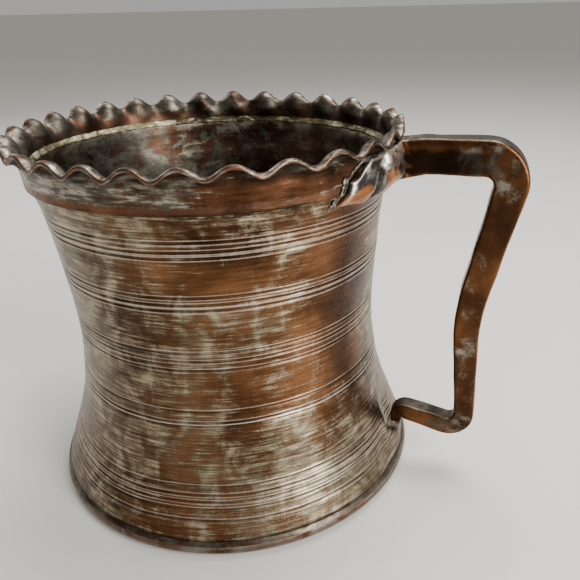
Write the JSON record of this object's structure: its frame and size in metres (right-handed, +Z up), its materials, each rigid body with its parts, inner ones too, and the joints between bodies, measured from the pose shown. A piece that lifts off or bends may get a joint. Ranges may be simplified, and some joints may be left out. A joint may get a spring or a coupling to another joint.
{
  "type": "mug",
  "caption": "Waisted tinned copper mug with turned line bands, a flared crimped rim and a forged square bar handle on a fishtail saddle.",
  "frame": {"origin": "centre of the flat underside, on the mug's axis", "axes": "+Z up along the mug's axis, +X towards the handle"},
  "size_m": [0.1589, 0.1288, 0.1186],
  "materials": {
    "wall_copper": "worn tin over turned copper, satin",
    "base_copper": "worn tin over copper, dull",
    "rim_copper": "dark tinned copper sheet, edge rubbed to bare metal",
    "bar_copper": "forged, dark brown, edges rubbed",
    "saddle_copper": "hammered, grey tin with bare copper patches",
    "solder_tin": "dull tin solder, rough",
    "pin_tin": "tinned, dull"
  },
  "bodies": {
    "root": {"body_wall": "wall_copper", "base_pan": "base_copper", "base_seam_solder": "solder_tin", "rim_collar": "rim_copper", "collar_solder": "solder_tin", "handle_bar": "bar_copper", "handle_saddle": "saddle_copper", "handle_solder": "solder_tin", "lower_peg": "pin_tin"}
  },
  "joints": []
}
